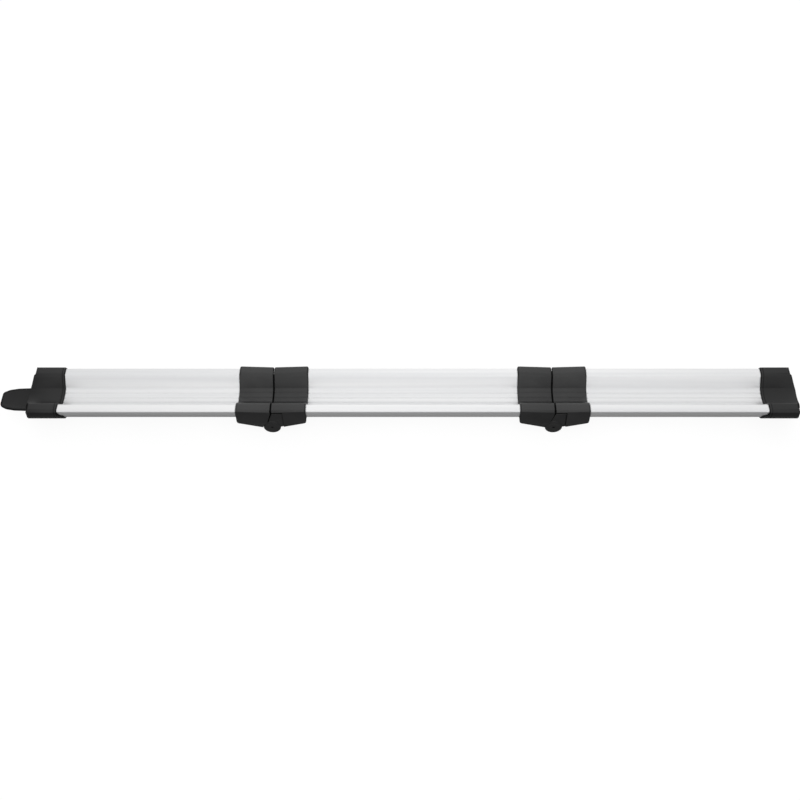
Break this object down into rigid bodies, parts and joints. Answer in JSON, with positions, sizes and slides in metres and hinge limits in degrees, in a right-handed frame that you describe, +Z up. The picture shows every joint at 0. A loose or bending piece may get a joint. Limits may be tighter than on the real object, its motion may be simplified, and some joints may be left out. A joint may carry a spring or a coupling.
{
  "type": "folding loading ramp",
  "caption": "Aluminium wheel-channel loading ramp folding at pinned plastic hinges, with end caps, a hook tongue and a rubber-padded foot.",
  "frame": {"origin": "on the ground under the middle of the unfolded ramp's whole length, level with the lowest point of the hinge knuckles", "axes": "+X along the ramp from the hook tongue to the foot, +Y across it, +Z up out of the wheel channel"},
  "size_m": [1.629, 0.1216, 0.072],
  "materials": {
    "rail_aluminium": "extruded, satin natural anodised",
    "black_plastic": "fine moulded texture",
    "tongue_plastic": "fine moulded texture with a smooth raised border",
    "pin_steel": "zinc plated",
    "washer_nylon": "natural nylon",
    "screw_steel": "black zinc",
    "pad_rubber": "ribbed"
  },
  "bodies": {
    "middle_section": {"middle_rail": "rail_aluminium", "left_hinge_inner_half": "black_plastic", "right_hinge_inner_half": "black_plastic", "left_hinge_pin": "pin_steel", "left_hinge_washers": "washer_nylon", "left_hinge_pin_caps": "black_plastic", "left_hinge_inner_screws": "screw_steel", "right_hinge_inner_screws": "screw_steel"},
    "left_section": {"left_rail": "rail_aluminium", "left_hinge_outer_half": "black_plastic", "left_hinge_outer_screws": "screw_steel", "hook_end_cap": "black_plastic", "hook_tongue": "tongue_plastic", "hook_cap_screws": "screw_steel", "tongue_screws": "screw_steel"},
    "right_section": {"right_rail": "rail_aluminium", "right_hinge_outer_half": "black_plastic", "right_hinge_outer_screws": "screw_steel", "right_hinge_pin": "pin_steel", "right_hinge_washers": "washer_nylon", "right_hinge_pin_caps": "black_plastic", "foot_end_cap": "black_plastic", "foot_cap_screws": "screw_steel", "foot_pads": "pad_rubber"}
  },
  "joints": [
    {"name": "left_fold", "type": "hinge", "parent": "middle_section", "child": "left_section", "pos_m": [-0.257, 0, 0.0175], "axis": [0, -1, 0], "range_deg": [0, 150]},
    {"name": "right_fold", "type": "hinge", "parent": "middle_section", "child": "right_section", "pos_m": [0.314, 0, 0.0175], "axis": [0, 1, 0], "range_deg": [0, 180]}
  ]
}
